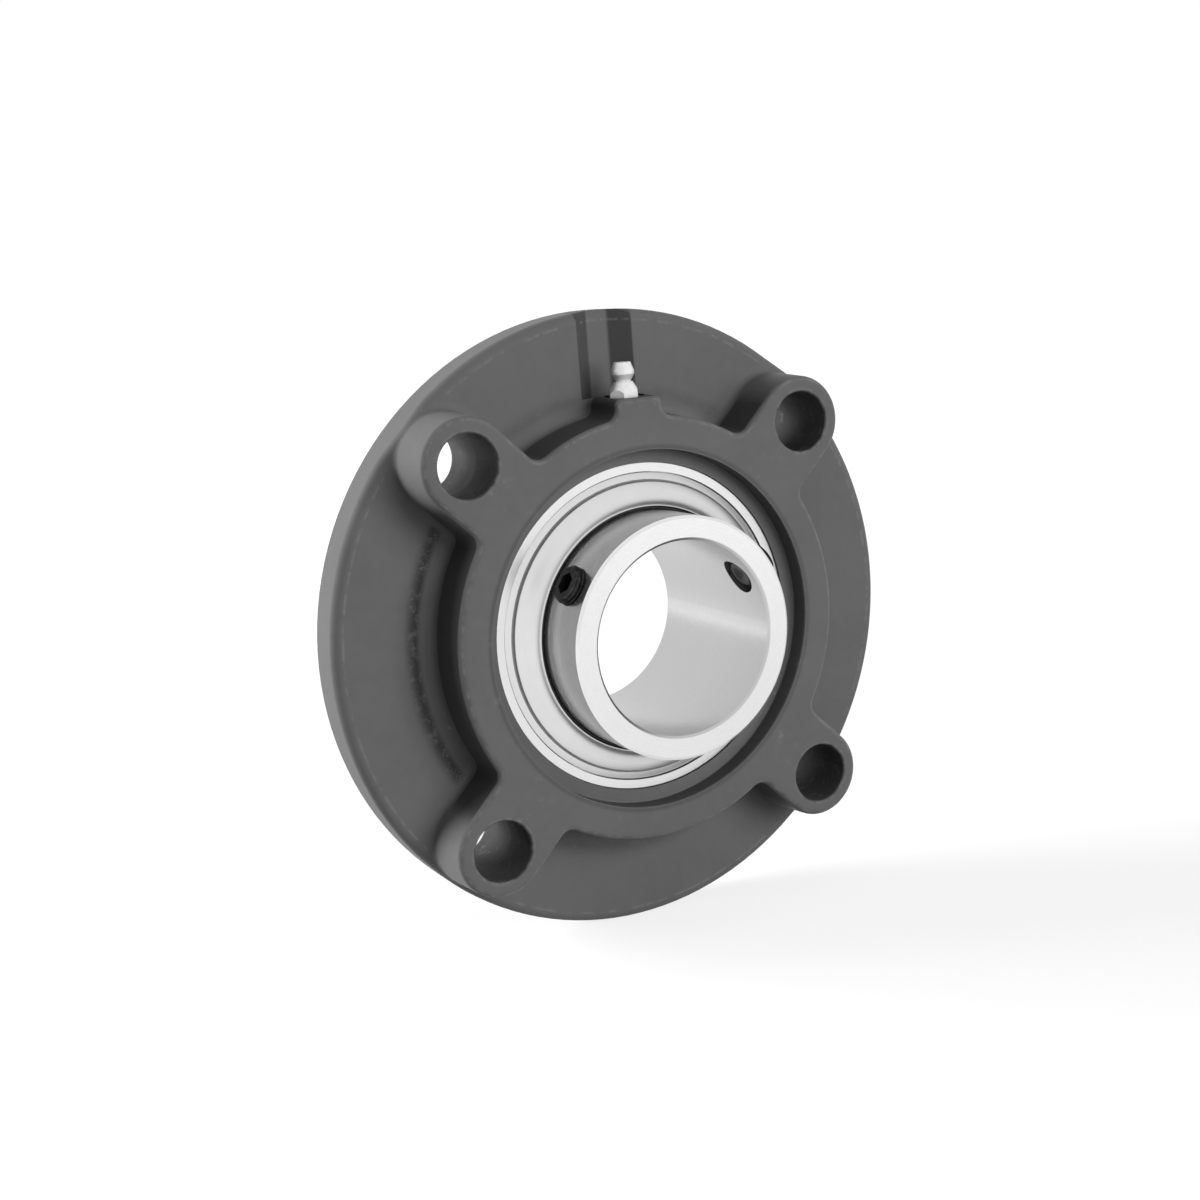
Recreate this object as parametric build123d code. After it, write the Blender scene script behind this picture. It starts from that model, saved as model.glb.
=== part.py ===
from build123d import *
from math import cos, hypot, radians, sin, sqrt
import os

os.makedirs("parts", exist_ok=True)

# A round, piloted flange bearing unit, in millimetres.
# The origin is on the shaft axis, in the plane of the flange's mounting face.
# The shaft axis is Y: the unit's front faces -Y, its pilot spigot points to +Y, and the grease nipple to +Z.

# Insert bearing: the shaft bore, the rings and the balls
shaft_radius = 25.0
inner_ring_wall = 6.2
inner_ring_length = 51.6
inner_ring_back = 19.0
ball_radius = 6.35
ball_count = 10
ball_gap = 0.05
groove_conformity = 0.52
groove_depth = 2.55
outer_ring_wall = 3.55
outer_ring_width = 24.0
ring_chamfer = 0.7
outer_ring_chamfer = 0.4
lube_hole_radius = 1.5
lube_hole_spacing = 120.0

# Set screws in the inner ring
screw_radius = 5.0
screw_length = 8.0
screw_setback = 8.5
screw_bore_gap = 0.6
first_screw_angle = 28.0
screw_spacing = 120.0
screw_clearance = 0.05
screw_chamfer = 0.7
hex_key = 5.0
hex_key_depth = 3.8
cup_radius = 2.2
cup_depth = 1.0

# Seals
seal_seat_step = 1.95
seal_seat_depth = 2.45
shield_thickness = 0.7
shield_clearance = 0.3
shield_rim_width = 2.3
shield_rim_sink = 0.7
shield_step = 0.9
shield_slope = 1.2
shield_window = 1.2
lip_gap = 0.05
lip_thickness = 1.0
seal_thickness = 1.0
lip_sink = 0.3

# Cage
cage_thickness = 0.9
cage_half_width = 2.4
pocket_gap = 0.15
rivet_radius = 1.0
rivet_head_radius = 1.7
rivet_head_height = 0.7
rivet_clearance = 0.02

# Housing casting
centre_offset = 10.0
seat_clearance = 0.05
seat_overhang = 0.6
hub_wall = 10.5
front_height = 28.0
flange_thickness = 12.0
flange_margin = 13.5
bolt_circle_radius = 69.0
bolt_count = 4
bolt_hole_radius = 8.0
bolt_hole_chamfer = 0.4
boss_wall = 4.0
draft = 3.0
corner_radius = 3.5
base_fillet = 2.4
edge_fillet = 1.6
rim_fillet = 2.5
back_chamfer = 0.8
relief_step = 1.85
relief_corner = 0.4
spigot_radius = 55.0
spigot_length = 12.0
spigot_chamfer = 1.0
rear_flare = 4.2
slot_clearance = 0.6
slot_depth = 0.15

# Grease supply
pad_rise = 4.5
pad_width = 13.0
pad_corner = 1.4
spot_face_radius = 5.2
channel_width = 16.4
channel_floor = 6.0
channel_depth = 4.0
channel_fillet = 1.5
thread_radius = 3.0
thread_clearance = 0.05
thread_depth = 8.3
passage_radius = 1.3
grease_groove_offset = 4.0
grease_groove_width = 3.0
grease_groove_depth = 1.2

# Grease nipple
hex_flats = 7.0
hex_height = 1.2
hex_crown = 2.8
crown_radius = 2.45
neck_radius = 1.95
neck_rise = 0.15
neck_length = 0.1
head_radius = 3.0
head_flare = 1.75
head_height = 0.8
head_crown = 2.2
head_tip_radius = 2.2
inlet_radius = 0.6
inlet_depth = 0.6
check_ball_radius = 0.95
check_ball_gap = 0.03
chamber_radius = 1.2
chamber_length = 10.5
nipple_outlet_radius = 0.8
spring_wire = 0.16
spring_turns = 5
spring_seat_gap = 0.04

# Stop pin, which keeps the outer ring from creeping round in its seat
pin_radius = 2.0
pin_depth = 2.5
pin_reach = 1.4
pin_clearance = 0.05
keyway_clearance = 0.15
align_angle = 2.0

# Sizes that follow from the ones above
inner_ring_radius = shaft_radius + inner_ring_wall
pitch_radius = inner_ring_radius - groove_depth + ball_gap + ball_radius
groove_radius = 2 * ball_radius * groove_conformity
outer_shoulder = pitch_radius + ball_radius + ball_gap - groove_depth
sphere_radius = outer_shoulder + groove_depth + outer_ring_wall
half_width = outer_ring_width / 2
seal_seat_radius = outer_shoulder + seal_seat_step
centre_y = -centre_offset
ring_front_y = centre_y + inner_ring_back - inner_ring_length
ring_back_y = centre_y + inner_ring_back
screw_y = ring_front_y + screw_setback
seat_radius = sphere_radius + seat_clearance
seat_half_width = half_width + seat_overhang
seat_mouth_radius = sqrt(seat_radius**2 - seat_half_width**2)
relief_radius = seat_radius + relief_step
hub_radius = seat_radius + hub_wall
flange_radius = bolt_circle_radius + flange_margin
boss_radius = bolt_hole_radius + boss_wall
hub_rise = front_height - flange_thickness
nipple_y = -(front_height + flange_thickness) / 2
pad_top = hub_radius + pad_rise
ball_step = 360 / ball_count
screw_angles = [first_screw_angle, first_screw_angle + screw_spacing]


def disc_plane(y):
    """A plane square to the shaft, facing the back."""
    return Plane(origin=(0, y, 0), x_dir=(1, 0, 0), z_dir=(0, 1, 0))


def turned(*points):
    """A ring turned about the shaft axis from corners given as (radius, y)."""
    return revolve(make_face(Polyline(*points, close=True)), axis=Axis.Y)


def disc(radius, y_from, y_to):
    """A round bar on the shaft axis."""
    return turned((0, y_from), (radius, y_from), (radius, y_to), (0, y_to))


def radial_bar(radius, angle, y, r_from, r_to):
    """A round bar that points away from the shaft at an angle from +X towards +Z."""
    out = (cos(radians(angle)), 0, sin(radians(angle)))
    start = (r_from * out[0], y, r_from * out[2])
    plane = Plane(origin=start, x_dir=(0, 1, 0), z_dir=out)
    return extrude(plane * Circle(radius), amount=r_to - r_from)


def bar_between(radius, start, end):
    """A round bar from one point to another."""
    way = Vector(*end) - Vector(*start)
    return extrude(Plane(origin=start, z_dir=way) * Circle(radius), amount=way.length)


def on_pitch(angle, radius=None):
    """A point of the ball circle."""
    radius = pitch_radius if radius is None else radius
    return (radius * cos(radians(angle)), centre_y, radius * sin(radians(angle)))


def radius_of(point):
    """A point's distance from the shaft axis."""
    return sqrt(point.X**2 + point.Z**2)


# Housing: one iron casting with flange, hub, four bolt bosses, nipple pad and spigot


def front_plateau():
    """The hub with the nipple pad and the four bolt arms, drafted towards the flange."""
    outline = Circle(hub_radius)
    arm = Pos(bolt_circle_radius / 2, 0) * Rectangle(bolt_circle_radius, 2 * boss_radius)
    arm += Pos(bolt_circle_radius, 0) * Circle(boss_radius)
    for number in range(bolt_count):
        outline += Rot(0, 0, (number + 0.5) * 360 / bolt_count) * arm
    outline += Pos(0, -pad_top / 2) * RectangleRounded(pad_width, pad_top, pad_corner)
    corners = [v for v in outline.vertices() if abs(hypot(v.X, v.Y) - hub_radius) < 0.01]
    outline = fillet(corners, corner_radius)
    return extrude(disc_plane(-front_height) * outline, amount=hub_rise + 1, taper=-draft)


def housing_body():
    """The casting before any hole is cut."""
    overhang = base_fillet * 3
    blank = disc(flange_radius + overhang, -flange_thickness, 0) + front_plateau()
    foot = [
        e
        for e in blank.edges()
        if abs(e.center().Y + flange_thickness) < 0.01 and radius_of(e @ 0.5) < flange_radius + overhang / 2
    ]
    blank = fillet(foot, base_fillet)
    blank = blank & disc(flange_radius, -front_height, 0)
    blank = fillet([e for e in blank.edges() if abs(e.center().Y + front_height) < 0.01], edge_fillet)
    rim = [
        e
        for e in blank.edges()
        if e.geom_type != GeomType.LINE
        and e.center().Y < -flange_thickness / 2
        and abs(radius_of(e @ 0.5) - flange_radius) < 0.01
        and abs(radius_of(e @ 0) - flange_radius) < 0.01
    ]
    blank = fillet(rim, rim_fillet)
    back = [e for e in blank.edges() if abs((e @ 0.5).Y) < 0.01]
    return chamfer(back, back_chamfer)


def spigot():
    """The pilot behind the flange."""
    return turned(
        (seat_mouth_radius, -1),
        (spigot_radius, -1),
        (spigot_radius, spigot_length - spigot_chamfer),
        (spigot_radius - spigot_chamfer, spigot_length),
        (seat_mouth_radius, spigot_length),
    )


def seat_space():
    """What is cut away for the insert: front relief, spherical seat and flared back opening."""
    front = centre_y - seat_half_width
    back = centre_y + seat_half_width
    outlet = seat_mouth_radius + rear_flare
    front_lines = Polyline(
        (0, -front_height - 1),
        (relief_radius, -front_height - 1),
        (relief_radius, front),
        (seat_mouth_radius, front),
    )
    seat = ThreePointArc((seat_mouth_radius, front), (seat_radius, centre_y), (seat_mouth_radius, back))
    back_lines = Polyline(
        (seat_mouth_radius, back),
        (outlet, spigot_length),
        (outlet, spigot_length + 1),
        (0, spigot_length + 1),
        (0, -front_height - 1),
    )
    section = make_face([front_lines, seat, back_lines])
    corner = [v for v in section.vertices() if abs(v.X - relief_radius) + abs(v.Y - front) < 0.01]
    return revolve(fillet(corner, relief_corner), axis=Axis.Y)


def loading_slots():
    """The slots at the back through which the insert goes in edgewise and is then turned."""
    width = outer_ring_width + 2 * slot_clearance
    reach = seat_radius + slot_depth
    length = spigot_length + 1 - centre_y
    lane = Pos(0, centre_y + length / 2, 0) * Box(3 * reach, length, width)
    return disc(reach, centre_y, spigot_length + 1) & lane


def pin_keyway():
    """The narrow keyway in one loading slot that the stop pin slides in."""
    half = pin_radius + keyway_clearance
    outer = sphere_radius + pin_reach + keyway_clearance * 3
    travel = outer * sin(radians(align_angle)) + keyway_clearance
    start_y = centre_y - travel
    end = radial_bar(half, 180, start_y, pitch_radius, outer)
    length = spigot_length + 1 - start_y
    middle = (pitch_radius + outer) / 2
    lane = Pos(-middle, start_y + length / 2, 0) * Box(outer - pitch_radius, length, 2 * half)
    return end + lane


def grease_way():
    """The tapped nipple hole with its spot face, the slanted passage and the groove round the seat."""
    hole_end = pad_top - thread_depth
    groove_y = centre_y - grease_groove_offset
    hole = bar_between(thread_radius + thread_clearance, (0, nipple_y, hole_end), (0, nipple_y, pad_top + 1))
    groove_floor = sqrt(seat_radius**2 - grease_groove_offset**2) + grease_groove_depth
    groove_top = groove_floor - 3 * grease_groove_depth
    low, high = groove_y - grease_groove_width / 2, groove_y + grease_groove_width / 2
    groove = turned((groove_top, low), (groove_floor, low), (groove_floor, high), (groove_top, high))
    passage = bar_between(passage_radius, (0, nipple_y, hole_end + 1), (0, groove_y, groove_floor - 1))
    spot_face = bar_between(spot_face_radius, (0, nipple_y, pad_top), (0, nipple_y, pad_top + 2))
    return hole + spot_face + passage + groove


def grease_channel():
    """The channel across the flange that lets a grease gun reach the nipple."""
    top, floor = channel_width / 2, channel_floor / 2
    slope = (top - floor) / channel_depth
    deep = -flange_thickness + channel_depth
    lead = 3.0
    points = [
        (-top - slope * lead, -flange_thickness - lead),
        (top + slope * lead, -flange_thickness - lead),
        (floor, deep),
        (-floor, deep),
    ]
    section = make_face(Polyline(*points, close=True))
    section = fillet(section.vertices().sort_by(Axis.Y)[-2:], channel_fillet)
    length = flange_radius + base_fillet - pad_top
    return extrude(Pos(0, 0, pad_top) * section, amount=length)


def bolt_hole(number):
    """One bolt hole with a lightly broken mouth."""
    angle = radians((number + 0.5) * 360 / bolt_count)
    mouth = bolt_hole_radius + bolt_hole_chamfer
    x, z = bolt_circle_radius * cos(angle), bolt_circle_radius * sin(angle)
    hole = disc(bolt_hole_radius, -front_height - 1, 1)
    hole += turned(
        (0, -front_height - 1),
        (mouth + 1, -front_height - 1),
        (bolt_hole_radius, -front_height + bolt_hole_chamfer),
        (0, -front_height + bolt_hole_chamfer),
    )
    return Pos(x, 0, z) * hole


def housing():
    """The finished casting."""
    body = housing_body() + spigot()
    body -= disc(seat_mouth_radius, -flange_thickness, 1)
    body -= seat_space()
    body -= loading_slots()
    body -= pin_keyway()
    body -= grease_way()
    body -= grease_channel()
    for number in range(bolt_count):
        body -= bolt_hole(number)
    return body


# Insert bearing


def outer_ring():
    """The outer ring: spherical outside, a ball groove and two seal seats inside."""
    arc_start = half_width - outer_ring_chamfer
    arc_radius = sqrt(sphere_radius**2 - arc_start**2)
    face_radius = arc_radius - outer_ring_chamfer
    groove_centre = outer_shoulder + groove_depth - groove_radius
    groove_half = sqrt(groove_radius**2 - (outer_shoulder - groove_centre) ** 2)
    seat_end = half_width - seal_seat_depth
    front, back = centre_y - half_width, centre_y + half_width
    outside = ThreePointArc(
        (arc_radius, centre_y - arc_start), (sphere_radius, centre_y), (arc_radius, centre_y + arc_start)
    )
    back_lines = Polyline(
        (arc_radius, centre_y + arc_start),
        (face_radius, back),
        (seal_seat_radius, back),
        (seal_seat_radius, centre_y + seat_end),
        (outer_shoulder, centre_y + seat_end),
        (outer_shoulder, centre_y + groove_half),
    )
    groove = ThreePointArc(
        (outer_shoulder, centre_y + groove_half),
        (outer_shoulder + groove_depth, centre_y),
        (outer_shoulder, centre_y - groove_half),
    )
    front_lines = Polyline(
        (outer_shoulder, centre_y - groove_half),
        (outer_shoulder, centre_y - seat_end),
        (seal_seat_radius, centre_y - seat_end),
        (seal_seat_radius, front),
        (face_radius, front),
        (arc_radius, centre_y - arc_start),
    )
    ring = revolve(make_face([outside, back_lines, groove, front_lines]), axis=Axis.Y)
    hole_y = centre_y - (groove_half + seat_end) / 2
    for angle in (90 - lube_hole_spacing / 2, 90 + lube_hole_spacing / 2):
        ring -= radial_bar(lube_hole_radius, angle, hole_y, pitch_radius, sphere_radius + 1)
    pin_floor = sphere_radius - pin_depth - pin_clearance
    ring -= radial_bar(pin_radius + pin_clearance, 180, centre_y, pin_floor, sphere_radius + 1)
    return ring


def inner_ring():
    """The extended inner ring, with its ball groove and two tapped holes."""
    groove_centre = inner_ring_radius - groove_depth + groove_radius
    groove_half = sqrt(groove_radius**2 - (groove_centre - inner_ring_radius) ** 2)
    groove = ThreePointArc(
        (inner_ring_radius, centre_y - groove_half),
        (inner_ring_radius - groove_depth, centre_y),
        (inner_ring_radius, centre_y + groove_half),
    )
    lines = Polyline(
        (inner_ring_radius, centre_y + groove_half),
        (inner_ring_radius, ring_back_y - ring_chamfer),
        (inner_ring_radius - ring_chamfer, ring_back_y),
        (shaft_radius + ring_chamfer, ring_back_y),
        (shaft_radius, ring_back_y - ring_chamfer),
        (shaft_radius, ring_front_y + ring_chamfer),
        (shaft_radius + ring_chamfer, ring_front_y),
        (inner_ring_radius - ring_chamfer, ring_front_y),
        (inner_ring_radius, ring_front_y + ring_chamfer),
        (inner_ring_radius, centre_y - groove_half),
    )
    ring = revolve(make_face([groove, lines]), axis=Axis.Y)
    for angle in screw_angles:
        hole = screw_radius + screw_clearance
        ring -= radial_bar(hole, angle, screw_y, shaft_radius / 2, inner_ring_radius + 1)
    return ring


def ball(number):
    """One ball of the row."""
    return Pos(*on_pitch(number * ball_step)) * Sphere(ball_radius)


def cage_half():
    """The back half of the pressed cage: flat webs between round pockets."""
    inner, outer = pitch_radius - cage_half_width, pitch_radius + cage_half_width
    pocket = ball_radius + pocket_gap
    reach = pocket + cage_thickness
    edge = centre_y + reach + 1
    band = turned((inner, centre_y), (outer, centre_y), (outer, edge), (inner, edge))
    web_edge = centre_y + cage_thickness
    half = turned((inner, centre_y), (outer, centre_y), (outer, web_edge), (inner, web_edge))
    for number in range(ball_count):
        half += Pos(*on_pitch(number * ball_step)) * Sphere(reach) & band
    for number in range(ball_count):
        half -= Pos(*on_pitch(number * ball_step)) * Sphere(pocket)
        half -= rivet_bar(number, rivet_radius + rivet_clearance, reach)
    return half


def rivet_bar(number, radius, reach):
    """A round bar through the webs of the cage, midway between two balls."""
    x, y, z = on_pitch((number + 0.5) * ball_step)
    return bar_between(radius, (x, y - reach, z), (x, y + reach, z))


def rivet(number):
    """One cage rivet with a low head on each side."""
    x, y, z = on_pitch((number + 0.5) * ball_step)
    head_from = cage_thickness
    head_to = cage_thickness + rivet_head_height
    crown = rivet_head_radius - rivet_head_height / 2
    shape = make_face(
        Polyline(
            (0, -head_to),
            (crown, -head_to),
            (rivet_head_radius, -head_from - rivet_head_height / 2),
            (rivet_head_radius, -head_from),
            (rivet_radius, -head_from),
            (rivet_radius, head_from),
            (rivet_head_radius, head_from),
            (rivet_head_radius, head_from + rivet_head_height / 2),
            (crown, head_to),
            (0, head_to),
            close=True,
        )
    )
    return Pos(x, y, z) * revolve(shape, axis=Axis.Y)


def shield(side):
    """A pressed steel shield: a sunk rim, a step and a broad ring with its inner edge turned in."""
    rim = seal_seat_radius - shield_clearance
    step = rim - shield_rim_width
    window = inner_ring_radius + shield_window
    top = half_width - shield_rim_sink
    low = top - shield_thickness
    face = top + shield_step
    inner_face = face - shield_thickness
    profile = [
        (rim, low),
        (rim, top),
        (step, top),
        (step - shield_slope, face),
        (window + shield_thickness, face),
        (window, face - shield_thickness),
        (window, low),
        (window + shield_thickness, low),
        (window + shield_thickness * 1.3, inner_face),
        (step - shield_slope - shield_thickness * 0.4, inner_face),
        (step - shield_thickness * 0.4, low),
    ]
    return turned(*[(r, centre_y + side * d) for r, d in profile])


def seal(side):
    """A rubber sealing ring behind the shield, with a lip that runs on the inner ring."""
    rim = seal_seat_radius - shield_clearance
    top = half_width - shield_rim_sink - shield_thickness
    low = top - seal_thickness
    lip = inner_ring_radius + lip_gap
    lip_top = half_width - lip_sink
    profile = [
        (rim, low),
        (rim, top),
        (lip + lip_thickness, top),
        (lip + lip_thickness, lip_top),
        (lip + lip_thickness * 0.4, lip_top),
        (lip, lip_top - lip_thickness * 0.3),
        (lip, top - seal_thickness * 0.3),
        (lip + lip_thickness * 0.8, low),
    ]
    return turned(*[(r, centre_y + side * d) for r, d in profile])


def set_screw(angle):
    """A cup-point set screw with a hexagon socket, backed off so that its point clears the shaft."""
    bottom = 0
    profile = make_face(
        Polyline(
            (0, bottom + cup_depth),
            (cup_radius, bottom),
            (screw_radius - screw_chamfer * 2, bottom),
            (screw_radius, bottom + screw_chamfer * 2),
            (screw_radius, screw_length - screw_chamfer),
            (screw_radius - screw_chamfer, screw_length),
            (0, screw_length),
            close=True,
        )
    )
    screw = revolve(Plane.XZ * profile, axis=Axis.Z)
    socket = RegularPolygon(hex_key / 2, 6, major_radius=False)
    screw -= extrude(Pos(0, 0, screw_length - hex_key_depth) * socket, amount=hex_key_depth + 1)
    out = (cos(radians(angle)), 0, sin(radians(angle)))
    foot = shaft_radius + screw_bore_gap
    place = Plane(origin=(foot * out[0], screw_y, foot * out[2]), x_dir=(0, 1, 0), z_dir=out)
    return place.location * screw


# Grease nipple, drawn upright on its own axis with z from the pad

hex_top = hex_height + hex_crown
neck_z = hex_top + neck_rise
head_z = neck_z + neck_length
head_wide_z = head_z + head_flare
head_shoulder_z = head_wide_z + head_height
nipple_top = head_shoulder_z + head_crown
seat_z = nipple_top - inlet_depth
seat_foot_z = seat_z - (chamber_radius - inlet_radius)
check_ball_z = seat_z + inlet_radius - sqrt(2) * (check_ball_radius + check_ball_gap)
chamber_floor_z = nipple_top - chamber_length
spring_top_z = check_ball_z - check_ball_radius - spring_seat_gap
spring_bottom_z = chamber_floor_z + spring_seat_gap


def nipple_body():
    """The nipple's hexagon, neck, head and threaded shank, bored through."""
    corner = hex_flats / sqrt(3)
    hexagon = extrude(RegularPolygon(corner, 6), amount=hex_top)
    crown = revolve(
        Plane.XZ
        * make_face(
            Polyline(
                (0, 0),
                (corner, 0),
                (corner, hex_height),
                (crown_radius, hex_top),
                (0, hex_top),
                close=True,
            )
        ),
        axis=Axis.Z,
    )
    shank = -thread_depth + 1
    stem = revolve(
        Plane.XZ
        * make_face(
            Polyline(
                (0, shank),
                (thread_radius - 0.5, shank),
                (thread_radius, shank + 0.5),
                (thread_radius, hex_height / 2),
                (crown_radius, hex_height / 2),
                (crown_radius, hex_top),
                (neck_radius, neck_z),
                (neck_radius, head_z),
                (head_radius, head_wide_z),
                (head_radius, head_shoulder_z),
                (head_tip_radius, nipple_top),
                (0, nipple_top),
                close=True,
            )
        ),
        axis=Axis.Z,
    )
    bore = revolve(
        Plane.XZ
        * make_face(
            Polyline(
                (0, shank - 1),
                (nipple_outlet_radius, shank - 1),
                (nipple_outlet_radius, chamber_floor_z),
                (chamber_radius, chamber_floor_z),
                (chamber_radius, seat_foot_z),
                (inlet_radius, seat_z),
                (inlet_radius, nipple_top + 1),
                (0, nipple_top + 1),
                close=True,
            )
        ),
        axis=Axis.Z,
    )
    return (hexagon & crown) + stem - bore


def nipple_spring():
    """The light spring under the check ball."""
    coil = chamber_radius - 2 * spring_wire - 0.1
    height = spring_top_z - spring_bottom_z - 2 * spring_wire
    path = Helix(pitch=height / spring_turns, height=height, radius=coil)
    section = Plane(origin=path @ 0, z_dir=path % 0) * RegularPolygon(spring_wire, 6)
    return Pos(0, 0, spring_bottom_z + spring_wire) * sweep(section, path=path)


nipple_place = Pos(0, nipple_y, pad_top)


def stop_pin():
    """A short pin in the outer ring whose end stands in the keyway."""
    return radial_bar(pin_radius, 180, centre_y, sphere_radius - pin_depth, sphere_radius + pin_reach)


# Every piece under the name of its node
cage_back = cage_half()
pieces = {
    "housing": housing(),
    "outer_ring": outer_ring(),
    "inner_ring": inner_ring(),
    "cage_front_half": mirror(cage_back, about=disc_plane(centre_y)),
    "cage_back_half": cage_back,
    "cage_rivets": Compound(children=[rivet(number) for number in range(ball_count)]),
    "front_shield": shield(-1),
    "back_shield": shield(1),
    "front_seal": seal(-1),
    "back_seal": seal(1),
    "grease_nipple": nipple_place * nipple_body(),
    "nipple_check_ball": nipple_place * (Pos(0, 0, check_ball_z) * Sphere(check_ball_radius)),
    "nipple_spring": nipple_place * nipple_spring(),
    "stop_pin": stop_pin(),
}
for number in range(ball_count):
    pieces[f"ball_{number + 1}"] = ball(number)
for number, angle in enumerate(screw_angles):
    pieces[f"set_screw_{number + 1}"] = set_screw(angle)

for name, piece in pieces.items():
    export_step(piece, f"parts/{name}.step")
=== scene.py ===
import bpy
import math
from mathutils import Matrix, Vector


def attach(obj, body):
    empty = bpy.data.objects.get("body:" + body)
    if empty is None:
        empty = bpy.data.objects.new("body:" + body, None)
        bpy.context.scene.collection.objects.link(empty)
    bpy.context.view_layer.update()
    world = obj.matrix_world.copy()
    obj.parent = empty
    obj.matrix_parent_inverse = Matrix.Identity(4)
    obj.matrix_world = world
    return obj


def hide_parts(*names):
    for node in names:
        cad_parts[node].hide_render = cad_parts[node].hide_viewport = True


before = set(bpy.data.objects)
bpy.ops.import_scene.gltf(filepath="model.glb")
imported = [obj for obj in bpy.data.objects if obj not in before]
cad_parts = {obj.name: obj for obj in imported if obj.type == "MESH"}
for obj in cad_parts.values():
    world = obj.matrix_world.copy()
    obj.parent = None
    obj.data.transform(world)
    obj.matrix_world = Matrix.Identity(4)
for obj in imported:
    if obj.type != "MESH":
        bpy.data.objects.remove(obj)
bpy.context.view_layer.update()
mm = 0.001


# Node maths: a Wire is one output, and sums and products of wires add their Math nodes
class Wire:
    def __init__(self, paint, socket):
        self.paint = paint
        self.socket = socket

    def maths(self, operation, *others):
        values = {n: v for n, v in enumerate((self,) + others)}
        return self.paint.add("Math", {"operation": operation}, values)

    def __add__(self, other):
        return self.maths("ADD", other)

    def __radd__(self, other):
        return self.maths("ADD", other)

    def __sub__(self, other):
        return self.maths("SUBTRACT", other)

    def __rsub__(self, other):
        return self.paint.add("Math", {"operation": "SUBTRACT"}, {0: other, 1: self})

    def __mul__(self, other):
        return self.maths("MULTIPLY", other)

    def __rmul__(self, other):
        return self.maths("MULTIPLY", other)

    def __pow__(self, other):
        return self.maths("POWER", other)


class Finish:
    def __init__(self, name, owner=None):  # the owner is a new material, or the world
        self.material = owner or bpy.data.materials.new(name)
        self.material.use_nodes = True
        self.tree = self.material.node_tree
        self.tree.nodes.clear()

    # Any node: its settings first, then its sockets
    def add(self, kind, settings=None, inputs=None, out=0):
        node = self.tree.nodes.new("ShaderNode" + kind)
        for name, value in (settings or {}).items():
            setattr(node, name, value)
        for key, value in (inputs or {}).items():
            if isinstance(value, Wire):
                self.tree.links.new(value.socket, node.inputs[key])
            else:
                node.inputs[key].default_value = value
        return Wire(self, node.outputs[out]) if node.outputs else None

    def place(self):  # the point on the piece in millimetres, and its x, y and z
        point = self.add("TexCoord", out=3)
        point = self.add("VectorMath", {"operation": "SCALE"}, {0: point, 3: 1000})
        parts = self.add("SeparateXYZ", inputs={0: point})
        x, y, z = (Wire(self, parts.socket.node.outputs[n]) for n in range(3))
        return point, x, y, z

    def noise(self, point, scale, detail, rough):
        return self.add("TexNoise", inputs={"Vector": point, "Scale": scale, "Detail": detail, "Roughness": rough})

    def step(self, value, low, high):  # 0 below low, 1 above high
        settings = {"interpolation_type": "SMOOTHSTEP"}
        return self.add("MapRange", settings, {"Value": value, "From Min": low, "From Max": high})

    def band(self, value, rise, fall):  # 1 between the rise and the fall, each a pair of values
        return self.step(value, *rise) * (1 - self.step(value, *fall))

    def blend(self, mask, first, second):
        return self.add("Mix", {"data_type": "RGBA"}, {0: mask, 6: first, 7: second}, out=2)

    def bump(self, height, depth):  # depth in millimetres
        return self.add("Bump", inputs={"Height": height, "Strength": 1.0, "Distance": depth * mm})

    def close(self, **sockets):
        inputs = {name.replace("_", " "): value for name, value in sockets.items()}
        shader = self.add("BsdfPrincipled", inputs=inputs)
        self.add("OutputMaterial", inputs={"Surface": shader})
        return self.material


def grey(level, warm=0.0):
    return (level * (1 + warm), level, level * (1 - warm), 1)


def dress(material, *pieces):
    for name in pieces:
        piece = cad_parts[name]
        piece.data.materials.clear()
        piece.data.materials.append(material)


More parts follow.
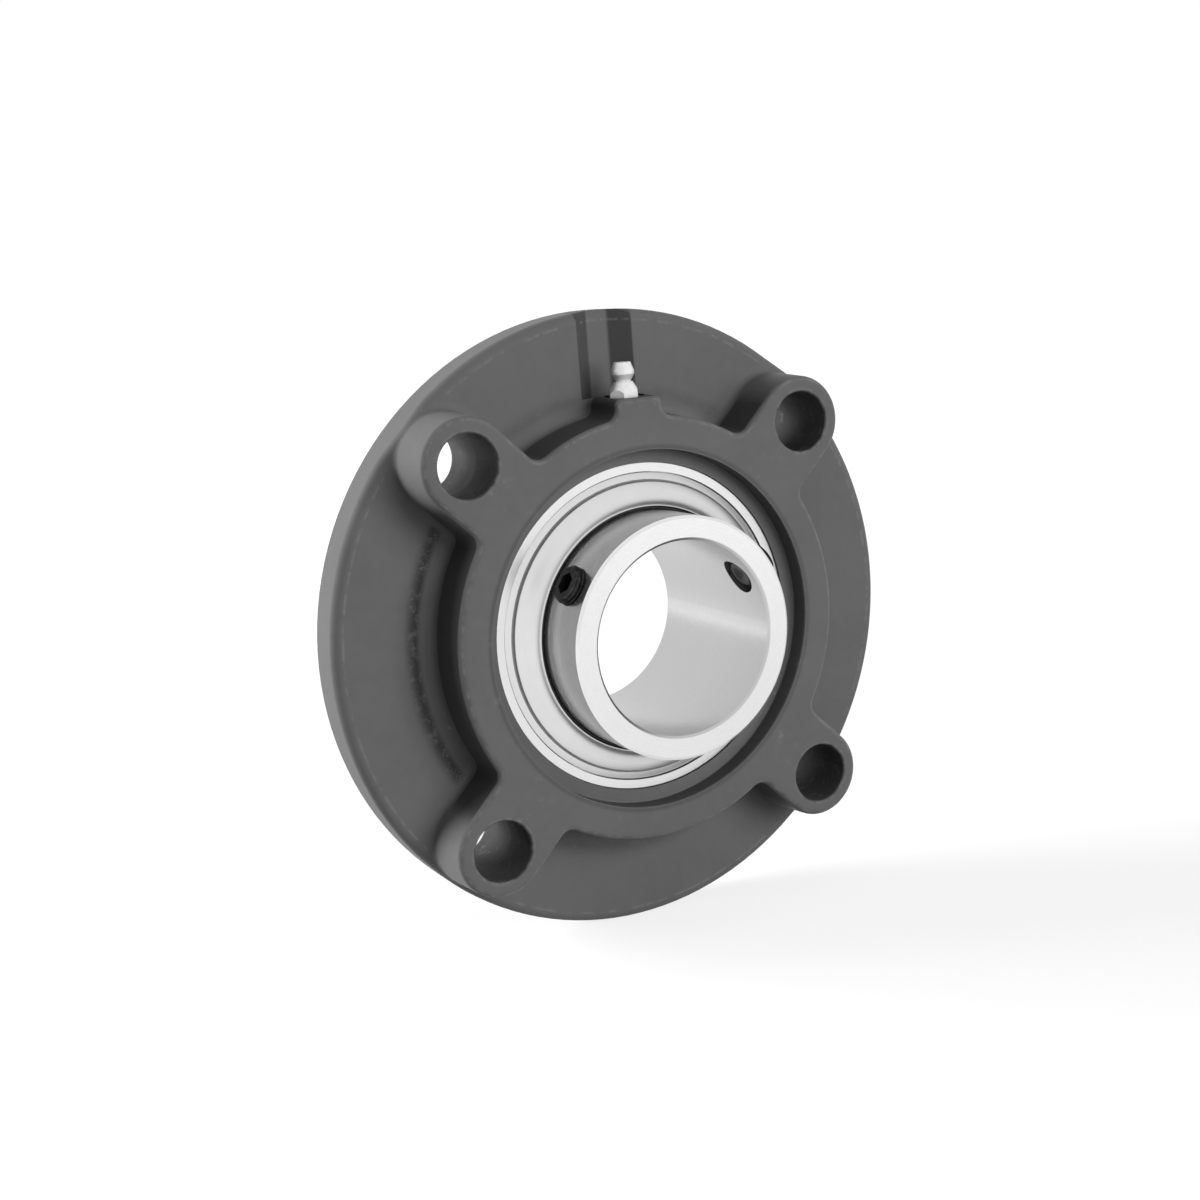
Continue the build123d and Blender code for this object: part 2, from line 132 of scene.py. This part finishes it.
# Housing paint over the cast skin, bare where the casting is machined. Lengths are millimetres, a pair is where
# a mask goes from 0 to 1, and two pairs are the rise and the fall of a band. Noise is its scale, detail and roughness.
casting = {
    "paint": 0.136, "dark": 0.125, "chip": 0.34, "footShade": 0.035, "shade": 0.012, "bare": 0.36, "bareLow": 0.78,
    "wearAndHighlight": 0.20, "warm": 0.01, "gloss": 0.50, "bareGloss": 0.38, "shine": 0.1, "skinDepth": 0.06,
    "cloud": (0.045, 4, 0.6), "mottle": (0.35, 5, 0.65), "grain": (1.6, 4, 0.6), "sand": (4.5, 2, 0.5),
    "machined": (-0.5, -0.1), "clouded": (0.55, 1.0), "turned": 0.2,
    # painted shade at the foot of the hub, mostly on the left
    "footShadeRadius": ((58.9, 60.9), (60.9, 64.5)), "footShadeFront": (-13, -12), "footShadePatch": (0.36, 0.53),
    "footShadeSide": (-52, -28), "footShadeLeft": 0.9, "footShadeDrop": 0.65,
    # painted shade on the hub's walls, the channel's sides, round the recess, in the bolt holes and in the recess
    "wallDepth": ((-26.7, -26.1), (-15.6, -14.6)), "wallRadius": ((54, 55), (65, 71)),
    "grooveSide": ((2.6, 3.6), (8.0, 8.6)), "grooveFloor": (-12.1, -11.7), "grooveFoot": (58, 60),
    "grooveShade": 0.75, "lipRadius": ((47.0, 47.2), (47.6, 48.6)), "lipShade": 0.4, "wallShade": 0.7,
    "boltReach": 48.79, "hole": (8.1, 8.4), "holeShade": 0.6, "recessRadius": ((46.6, 46.9), (47.0, 47.2)),
    "recessFront": (-27.7, -27.0), "rimLine": 79.8, "rimWidth": (0.1, 0.5), "rimFront": (-12.3, -12.1),
    # lighter edge lines: worn paint and painted highlight
    "browDepth": ((-27.96, -27.88), (-27.7, -27.3)), "browRadius": (48, 49),
    "holeLip": ((7.9, 8.1), (8.5, 9.2)), "holeLipFront": (-27.6, -27.0), "holeLipWearAndHighlight": 0.8,
    "wearAndHighlightPatch": (0.42, 0.60), "wearAndHighlightMost": 0.55,
    "speckGrain": (0.72, 0.78), "speckPatch": (0.56, 0.66), "speckMost": 0.35,
    "edge": (0.54, 0.62), "edgePatch": (0.55, 0.66), "edgeMost": 0.7, "edgeInHole": 0.6,
}


def paintedIron():
    c = casting
    f = Finish("Painted cast iron")
    point, x, y, z = f.place()
    radius = (x * x + z * z) ** 0.5
    cloud, mottle, grain, sand = (f.noise(point, *c[name]) for name in ("cloud", "mottle", "grain", "sand"))
    machined = f.step(y, *c["machined"])
    colour = f.blend(f.step(cloud + mottle * 0.6, *c["clouded"]), grey(c["dark"]), grey(c["paint"]))

    # painted shade on the flange at the foot of the hub, in patches, mostly on the left
    foot = f.band(radius, *c["footShadeRadius"]) * f.step(y, *c["footShadeFront"])
    foot = foot * f.step(grain * 0.4 + mottle * 0.6, *c["footShadePatch"])
    foot = foot * (c["footShadeLeft"] - f.step(x, *c["footShadeSide"]) * c["footShadeDrop"])
    colour = f.blend(foot, colour, grey(c["footShade"]))

    # painted shade on the hub's walls, the channel's sides and round the recess, and in the bolt holes and the recess
    wall = f.band(y, *c["wallDepth"]) * f.band(radius, *c["wallRadius"])
    groove = f.band(x.maths("ABSOLUTE"), *c["grooveSide"]) * f.step(y, *c["grooveFloor"])
    groove = groove * f.step(z, *c["grooveFoot"])
    lip = f.band(radius, *c["lipRadius"])
    shaded = (wall + groove * c["grooveShade"] + lip * c["lipShade"]).maths("MINIMUM", 1) * c["wallShade"]
    colour = f.blend(shaded, colour, grey(c["shade"]))
    across, along = ((way.maths("ABSOLUTE") - c["boltReach"]) ** 2 for way in (x, z))
    fromBolt = (across + along) ** 0.5
    inHole = 1 - f.step(fromBolt, *c["hole"])
    inRecess = f.band(radius, *c["recessRadius"]) * f.step(y, *c["recessFront"])
    colour = f.blend((inHole + inRecess) * c["holeShade"], colour, grey(c["shade"]))

    # lighter lines on the flange's rim, round the hub's front face and round the bolt holes, in patches: worn paint
    # and painted highlight along these edges
    rim = (1 - f.step((radius - c["rimLine"]).maths("ABSOLUTE"), *c["rimWidth"])) * f.step(y, *c["rimFront"])
    brow = f.band(y, *c["browDepth"]) * f.step(radius, *c["browRadius"]) * (1 - inHole)
    holeLip = f.band(fromBolt, *c["holeLip"]) * (1 - f.step(y, *c["holeLipFront"])) * c["holeLipWearAndHighlight"]
    wearAndHighlight = (rim + brow + holeLip) * f.step(mottle, *c["wearAndHighlightPatch"])
    colour = f.blend(wearAndHighlight * c["wearAndHighlightMost"], colour, grey(c["wearAndHighlight"]))
    speck = f.step(grain, *c["speckGrain"]) * f.step(mottle, *c["speckPatch"]) * (1 - inHole)
    colour = f.blend(speck * c["speckMost"], colour, grey(c["chip"]))
    edge = f.step(f.add("NewGeometry", out=7), *c["edge"]) * f.step(mottle, *c["edgePatch"])
    edge = edge * (1 - inHole * c["edgeInHole"]) * c["edgeMost"]
    colour = f.blend(edge, colour, grey(c["chip"], c["warm"]))

    # rings left by the lathe on the back
    turned = f.add("TexWave", {"wave_type": "RINGS", "rings_direction": "Y"},
                   {"Vector": point, "Scale": c["turned"], "Distortion": 0.3, "Detail": 2})
    bareLow = grey(c["bare"] * c["bareLow"], c["warm"])
    bare = f.blend(turned * 0.6 + mottle * 0.4, bareLow, grey(c["bare"], c["warm"]))
    skin = (mottle * 0.5 + grain * 0.35 + sand * 0.15) * (1 - machined) + turned * machined * 0.15
    rough = (c["gloss"] + (grain - 0.5) * 0.2) * (1 - machined) + c["bareGloss"] * machined
    return f.close(Base_Color=f.blend(machined, colour, bare), Roughness=rough, Metallic=machined,
                   Normal=f.bump(skin, c["skinDepth"]), Specular_IOR_Level=c["shine"])


# Ground bearing steel, with the fine rings that grinding leaves
steel = {"level": 0.82, "rings": 3.2, "depth": 0.003, "rough": 0.26, "outerLevel": 0.8446, "outerRough": 0.34,
         "cloud": (0.12, 3, 0.5), "fine": (5.0, 2, 0.5), "scratch": (1.0, 4, 0.7), "scratchDensity": 6,
         "specks": (1.3, 2, 0.5), "speckAt": (0.74, 0.78), "speck": 0.7, "bore": 0.54, "boreRadius": (25.4, 25.7),
         "outside": 0.86, "outsideRadius": ((31.0, 31.15), (31.3, 31.5))}


def groundSteel(name, level, rough):
    f = Finish(name)
    point, x, y, z = f.place()
    radius = (x * x + z * z) ** 0.5
    cloud, fine, specks = (f.noise(point, *steel[part]) for part in ("cloud", "fine", "specks"))
    lines = f.add("Math", {"operation": "SINE"}, {0: (radius + y) * steel["rings"] * 2 * math.pi})
    dense = steel["scratchDensity"]
    streak = f.add("CombineXYZ", inputs={0: radius * dense, 1: y * dense, 2: 0})
    scratches = f.noise(streak, *steel["scratch"])
    colour = f.blend(cloud * 0.5 + scratches * 0.5, grey(level * 0.9), grey(level, 0.004))
    colour = f.blend(f.step(specks, *steel["speckAt"]) * 0.5, colour, grey(level * steel["speck"]))
    # painted shade: the bore is darker than the rest of the ring
    colour = f.blend(1 - f.step(radius, *steel["boreRadius"]), colour, grey(steel["bore"]))
    colour = f.blend(f.band(radius, *steel["outsideRadius"]), colour, grey(steel["outside"]))
    height = lines * 0.15 + scratches * 0.6 + fine * 0.25
    return f.close(Base_Color=colour, Metallic=1.0, Roughness=rough + (scratches - 0.5) * 0.1 + cloud * 0.04,
                   Normal=f.bump(height, steel["depth"]))


# Pressed sheet steel of the shields and the cage
sheet = {"level": 0.80, "low": 0.672, "rough": 0.38, "depth": 0.006, "cloud": (0.2, 3, 0.6),
         "rolled": (1.0, 3, 0.6), "rolledDensity": 5, "rolledLength": 0.4}


def sheetSteel():
    f = Finish("Pressed sheet steel")
    point, x, y, z = f.place()
    radius = (x * x + z * z) ** 0.5
    cloud = f.noise(point, *sheet["cloud"])
    dense = sheet["rolledDensity"]
    rolled = f.add("CombineXYZ", inputs={0: x * sheet["rolledLength"], 1: z * dense, 2: y * dense})
    rolled = f.noise(rolled, *sheet["rolled"])
    lap = f.noise(f.add("CombineXYZ", inputs={0: radius * dense, 1: y * dense, 2: 0}), *sheet["rolled"])
    colour = f.blend(cloud * 0.6 + rolled * 0.4, grey(sheet["low"]), grey(sheet["level"], 0.004))
    return f.close(Base_Color=colour, Metallic=1.0, Roughness=sheet["rough"] + (cloud - 0.5) * 0.08,
                   Normal=f.bump(rolled * 0.4 + lap * 0.6, sheet["depth"]))


# Nitrile rubber of the seal lips, with some dust
rubber = {"low": 0.0126, "high": 0.0288, "rough": 0.62, "depth": 0.03, "dust": (0.9, 4, 0.65),
          "grain": (6.0, 2, 0.5), "dusty": (0.4, 0.75)}


def sealRubber():
    f = Finish("Seal rubber")
    point = f.place()[0]
    dust, grain = (f.noise(point, *rubber[part]) for part in ("dust", "grain"))
    colour = f.blend(f.step(dust, *rubber["dusty"]), grey(rubber["low"]), grey(rubber["high"]))
    return f.close(Base_Color=colour, Roughness=rubber["rough"] + (dust - 0.5) * 0.3,
                   Normal=f.bump(grain * 0.7 + dust * 0.3, rubber["depth"]))


# The small pieces: darkest and lightest grey, how metallic and rough, the noise's scale and the bump's depth
platings = {
    "Black oxide steel": (0.018, 0.05, 0.75, 0.36, 0.8, 0.01),
    "Zinc plate": (0.78, 0.86, 0.55, 0.42, 0.6, 0.008),
    "Polished steel": (0.72, 0.80, 1.0, 0.07, 0.3, 0.0008),
    "Spring wire": (0.45, 0.62, 1.0, 0.24, 1.5, 0.004),
    "Hardened pin steel": (0.40, 0.55, 1.0, 0.22, 0.8, 0.004),
}


def plated(name):
    low, high, metallic, rough, scale, depth = platings[name]
    f = Finish(name)
    point = f.place()[0]
    cloud = f.noise(point, scale, 4, 0.6)
    grain = f.noise(point, scale * 6, 2, 0.5)
    colour = f.blend(f.step(cloud, 0.35, 0.65), grey(low), grey(high, 0.006))
    return f.close(Base_Color=colour, Metallic=metallic, Roughness=rough + (grain - 0.5) * 0.18 + cloud * 0.05,
                   Normal=f.bump(cloud * 0.5 + grain * 0.5, depth))


pressed = sheetSteel()
lipRubber = sealRubber()
blackSteel = plated("Black oxide steel")
balls = [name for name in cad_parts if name.startswith("ball_")]
dress(paintedIron(), "housing")
dress(groundSteel("Ground steel, inner ring", steel["level"], steel["rough"]), "inner_ring")
dress(groundSteel("Ground steel, outer ring", steel["outerLevel"], steel["outerRough"]), "outer_ring")
dress(pressed, "front_shield", "back_shield", "cage_front_half", "cage_back_half", "cage_rivets")
dress(lipRubber, "front_seal", "back_seal")
dress(blackSteel, "set_screw_1", "set_screw_2")
dress(plated("Zinc plate"), "grease_nipple")
dress(plated("Polished steel"), "nipple_check_ball", *balls)
dress(plated("Spring wire"), "nipple_spring")
dress(plated("Hardened pin steel"), "stop_pin")
print("materials:", len(bpy.data.materials))


# Helpers for modelling
def clearPick():
    if bpy.context.object and bpy.context.object.mode != "OBJECT":
        bpy.ops.object.mode_set(mode="OBJECT")
    bpy.ops.object.select_all(action="DESELECT")


def pick(piece):
    clearPick()
    piece.select_set(True)
    bpy.context.view_layer.objects.active = piece


def finishModifier(piece, kind, **settings):
    pick(piece)
    modifier = piece.modifiers.new(kind, kind)
    for name, value in settings.items():
        setattr(modifier, name, value)
    bpy.ops.object.modifier_apply(modifier=modifier.name)


def cut(piece, tool, operation):
    finishModifier(piece, "BOOLEAN", operation=operation, object=tool, solver="EXACT")
    bpy.data.objects.remove(tool, do_unlink=True)


# Set screws with a real thread, a hexagon socket and a cup point, drawn upright with the point at z = 0
setScrew = {"radius": 5.0, "root": 4.40, "pitch": 1.0, "length": 8.0, "flat": 0.14, "steps": 48, "chamfer": 0.7,
            "pointChamfer": 1.6, "keyFlats": 5.0, "keyDepth": 3.8, "cup": 2.2, "cupDepth": 1.0, "cupSides": 64,
            "sides": 96, "blankOver": 0.02, "spareTurns": 4, "endTrim": 0.5, "weld": 0.01, "sliver": 0.004,
            "foot": 25.6, "y": -34.1, "angles": (28.0, 148.0), "smooth": 30}


def threadedRod():
    s = setScrew
    clearPick()
    pitch, flat = s["pitch"], s["flat"]
    root, crest, middle = s["root"], s["radius"], pitch / 2
    corners = [(root, 0), (root, flat), (crest, middle), (crest, middle + flat), (root, pitch)]
    bpy.ops.mesh.primitive_circle_add(vertices=len(corners), radius=1)
    rod = bpy.context.object
    bpy.ops.object.mode_set(mode="EDIT")
    bpy.ops.mesh.select_all(action="DESELECT")
    bpy.ops.object.mode_set(mode="OBJECT")
    for vertex, (r, z) in zip(rod.data.vertices, corners):
        vertex.co = (r * mm, 0, (z - 2 * pitch) * mm)
    last = len(corners) - 1
    for line in rod.data.edges:  # the line that closed the circle goes
        line.select = set(line.vertices) == {0, last}
    for vertex in rod.data.vertices:
        vertex.select = False
    bpy.ops.object.mode_set(mode="EDIT")
    bpy.ops.mesh.select_mode(type="EDGE")
    bpy.ops.mesh.delete(type="EDGE_FACE")
    bpy.ops.object.mode_set(mode="OBJECT")
    turns = int(s["length"] / pitch) + s["spareTurns"]
    finishModifier(rod, "SCREW", angle=2 * math.pi, screw_offset=pitch * mm, iterations=turns, steps=s["steps"],
                   render_steps=s["steps"], use_merge_vertices=True, merge_threshold=s["weld"] * mm)
    pick(rod)
    bpy.ops.object.mode_set(mode="EDIT")
    bpy.ops.mesh.select_all(action="SELECT")
    bpy.ops.mesh.remove_doubles(threshold=s["weld"] * mm)
    for end, keep in ((-s["endTrim"], "inner"), (s["length"] + s["endTrim"], "outer")):
        bpy.ops.mesh.select_all(action="SELECT")
        bpy.ops.mesh.bisect(plane_co=(0, 0, end * mm), plane_no=(0, 0, 1), use_fill=True,
                            clear_inner=keep == "inner", clear_outer=keep == "outer")
    bpy.ops.mesh.select_all(action="SELECT")
    bpy.ops.mesh.normals_make_consistent(inside=False)
    bpy.ops.object.mode_set(mode="OBJECT")
    return rod


def chamferedBlank():  # what the thread is trimmed to
    s = setScrew
    clearPick()
    bpy.ops.mesh.primitive_cylinder_add(vertices=s["sides"], radius=(s["radius"] + s["blankOver"]) * mm,
                                        depth=s["length"] * mm, location=(0, 0, s["length"] / 2 * mm))
    blank = bpy.context.object
    bpy.ops.object.transform_apply(location=True, rotation=True, scale=True)
    for end, size in ((0, s["pointChamfer"]), (s["length"], s["chamfer"])):
        bpy.ops.object.mode_set(mode="EDIT")
        bpy.ops.mesh.select_mode(type="EDGE")
        bpy.ops.mesh.select_all(action="DESELECT")
        bpy.ops.object.mode_set(mode="OBJECT")
        for line in blank.data.edges:
            ends = [blank.data.vertices[n].co.z for n in line.vertices]
            line.select = all(math.isclose(z, end * mm, abs_tol=mm / 1000) for z in ends)
        bpy.ops.object.mode_set(mode="EDIT")
        bpy.ops.mesh.bevel(offset=size * mm, segments=1, affect="EDGES")
        bpy.ops.object.mode_set(mode="OBJECT")
    return blank


def hexKeyTool():
    s = setScrew
    clearPick()
    bpy.ops.mesh.primitive_cylinder_add(vertices=6, radius=s["keyFlats"] / math.sqrt(3) * mm,
                                        depth=2 * s["keyDepth"] * mm, location=(0, 0, s["length"] * mm))
    return bpy.context.object


def cupTool():
    s = setScrew
    clearPick()
    bpy.ops.mesh.primitive_cone_add(vertices=s["cupSides"], radius1=s["cup"] * 2 * mm, radius2=0,
                                    depth=2 * s["cupDepth"] * mm, location=(0, 0, 0))
    return bpy.context.object


def makeSetScrews():
    s = setScrew
    first = threadedRod()
    cut(first, chamferedBlank(), "INTERSECT")
    cut(first, hexKeyTool(), "DIFFERENCE")
    cut(first, cupTool(), "DIFFERENCE")
    pick(first)
    bpy.ops.object.mode_set(mode="EDIT")
    bpy.ops.mesh.select_mode(type="VERT")
    bpy.ops.mesh.select_all(action="SELECT")
    bpy.ops.mesh.remove_doubles(threshold=s["sliver"] * mm)  # the cuts leave slivers
    bpy.ops.mesh.dissolve_degenerate(threshold=s["sliver"] * mm)
    bpy.ops.object.mode_set(mode="OBJECT")
    bpy.ops.object.shade_smooth_by_angle(angle=math.radians(s["smooth"]))
    for number, angle in enumerate(s["angles"], 1):
        turn = math.radians(angle)
        out = Vector((math.cos(turn), 0, math.sin(turn)))
        side = Vector((0, 1, 0))
        screw = first.copy()
        screw.data = first.data.copy()
        bpy.context.collection.objects.link(screw)
        screw.name = f"threaded_set_screw_{number}"
        foot = out * s["foot"] * mm + side * s["y"] * mm
        axes = Matrix((side, out.cross(side), out)).transposed().to_4x4()
        screw.matrix_world = Matrix.Translation(foot) @ axes
        pick(screw)
        bpy.ops.object.transform_apply(location=True, rotation=True, scale=True)
        screw.data.materials.clear()
        screw.data.materials.append(blackSteel)
        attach(screw, f"set_screw_{number}")
        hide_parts(f"set_screw_{number}")
    bpy.data.objects.remove(first, do_unlink=True)


makeSetScrews()
print("set screws done")


# Front shield, dished towards the front with its inner edge turned up into a collar, and the seal lip inside the
# collar. Corners are the radius and the height in front of the outer ring's face.
dished = {
    "face": -22.0, "steps": 180, "weld": 0.01, "smooth": 35,
    "shield": ((40.55, -1.4), (40.55, -0.55), (40.4, -0.45), (38.95, -0.45), (38.75, -0.35), (38.35, 0.65),
               (38.1, 0.85), (36.0, 1.3), (34.7, 1.7), (34.0, 2.0), (33.3, 2.5), (32.75, 3.15), (32.5, 3.55),
               (32.35, 3.65), (32.2, 3.6), (32.12, 3.4), (32.3, 2.9), (32.8, 2.2), (33.5, 1.6), (35.8, 0.7),
               (37.8, 0.25), (38.05, -1.1), (38.25, -1.4)),
    "seal": ((40.5, -2.4), (40.5, -1.5), (33.0, -1.5), (32.1, -0.8), (31.98, 2.6), (31.88, 2.95), (31.65, 3.05),
             (31.4, 2.95), (31.27, 2.6), (31.27, -1.9), (32.0, -2.4)),
}


def turnedRing(name, corners):  # a closed ring turned about the shaft axis
    clearPick()
    bpy.ops.mesh.primitive_circle_add(vertices=len(corners), radius=1)
    ring = bpy.context.object
    ring.name = name
    for vertex, (radius, height) in zip(ring.data.vertices, corners):
        vertex.co = (radius * mm, (dished["face"] - height) * mm, 0)
    finishModifier(ring, "SCREW", axis="Y", angle=2 * math.pi, screw_offset=0, steps=dished["steps"],
                   render_steps=dished["steps"], use_merge_vertices=True, merge_threshold=dished["weld"] * mm)
    pick(ring)
    bpy.ops.object.mode_set(mode="EDIT")
    bpy.ops.mesh.select_all(action="SELECT")
    bpy.ops.mesh.normals_make_consistent(inside=False)
    bpy.ops.object.mode_set(mode="OBJECT")
    bpy.ops.object.shade_smooth_by_angle(angle=math.radians(dished["smooth"]))
    return ring


def makeDishedShield():
    rows = (("dished_front_shield", "shield", pressed, "front_shield", "sheet_steel"),
            ("front_lip_seal", "seal", lipRubber, "front_seal", "seal_rubber"))
    for name, profile, material, node, slot in rows:
        ring = turnedRing(name, dished[profile])
        ring.data.materials.clear()
        ring.data.materials.append(material)
        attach(ring, "outer_ring")
        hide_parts(node)


makeDishedShield()
print("front shield done")


# Studio: floor, world, lamps and camera
# The glow is what the camera and metal see of the floor, from grey under the part to white at far metres
studio = {"floorZ": -82.5, "floorGap": 0.2, "floorSize": 30.0, "floorPaint": 0.28, "ambient": 0.03,
          "glowNear": 0.78, "glowFar": 1.0, "near": 0.15, "far": 1.1}


def seesStudio(f):  # 1 for the camera's rays and those off metal and glass, which see the white studio
    rays = f.add("LightPath")
    names = ("Is Camera Ray", "Is Glossy Ray", "Is Transmission Ray")
    seen = [Wire(f, rays.socket.node.outputs[name]) for name in names]
    return seen[0] + seen[1] + seen[2]


def makeFloor():
    clearPick()
    height = (studio["floorZ"] - studio["floorGap"]) * mm
    bpy.ops.mesh.primitive_plane_add(size=studio["floorSize"], location=(0, 0, height))
    floor = bpy.context.object
    floor.name = "floor"
    f = Finish("Pale floor")
    away = f.add("VectorMath", {"operation": "LENGTH"}, {0: f.add("TexCoord", out=3)}, out=1)
    near, far = studio["glowNear"], studio["glowFar"]
    level = f.step(away, studio["near"], studio["far"]) * (far - near) + near
    glow = f.add("Emission", inputs={"Color": (1, 1, 1, 1), "Strength": seesStudio(f) * level})
    matte = f.add("BsdfDiffuse", inputs={"Color": grey(studio["floorPaint"])})
    both = f.add("AddShader", inputs={0: glow, 1: matte})
    f.add("OutputMaterial", inputs={"Surface": both})
    floor.data.materials.append(f.material)


def makeWorld():
    world = bpy.data.worlds.new("Studio white")
    bpy.context.scene.world = world
    f = Finish("Studio white", world)
    level = seesStudio(f).maths("MINIMUM", 1) * (1 - studio["ambient"]) + studio["ambient"]
    sky = f.add("Background", inputs={"Color": (1, 1, 1, 1), "Strength": level})
    f.add("OutputWorld", inputs={"Surface": sky})


# Lamps look at the part's middle: place and size in metres, power in watts
lamps = {
    "frontSoftbox": {"place": (0.50, -1.60, 0.35), "size": 1.3, "power": 32},
    "rearStrip": {"place": (-1.25, 0.95, 0.5), "size": 0.9, "power": 52},
    "topSoftbox": {"place": (-0.2, -0.5, 1.7), "size": 1.2, "power": 5},
}


def makeLamps():
    for name, lamp in lamps.items():
        data = bpy.data.lights.new(name, "AREA")
        data.size = lamp["size"]
        data.energy = lamp["power"]
        light = bpy.data.objects.new(name, data)
        light.visible_glossy = False  # metal shows the plain studio, not the lamps
        bpy.context.collection.objects.link(light)
        light.location = lamp["place"]
        light.rotation_euler = Vector(lamp["place"]).to_track_quat("Z", "Y").to_euler()


# The camera that fits the photograph: angles in degrees, lengths in millimetres
view = {"azimuth": -27.94, "elevation": 10.98, "roll": -4.52, "distance": 470.7, "lens": 51.73, "sensor": 36,
        "right": -1.287, "up": 4.216}


def makeCamera():
    a, e, r = (math.radians(view[name]) for name in ("azimuth", "elevation", "roll"))
    back = Vector((math.sin(a) * math.cos(e), -math.cos(a) * math.cos(e), math.sin(e)))
    level = Vector((math.cos(a), math.sin(a), 0))
    rise = back.cross(level)
    right = math.cos(r) * level + math.sin(r) * rise
    up = math.cos(r) * rise - math.sin(r) * level
    data = bpy.data.cameras.new("photoCamera")
    data.sensor_width = view["sensor"]
    data.lens = view["lens"]
    camera = bpy.data.objects.new("photoCamera", data)
    bpy.context.collection.objects.link(camera)
    axes = Matrix((right, up, back)).transposed().to_4x4()
    place = (right * view["right"] + up * view["up"] + back * view["distance"]) * mm
    camera.matrix_world = Matrix.Translation(place) @ axes
    bpy.context.scene.camera = camera


makeFloor()
makeWorld()
makeLamps()
makeCamera()
bpy.context.scene.view_settings.view_transform = "Standard"
print("studio done")
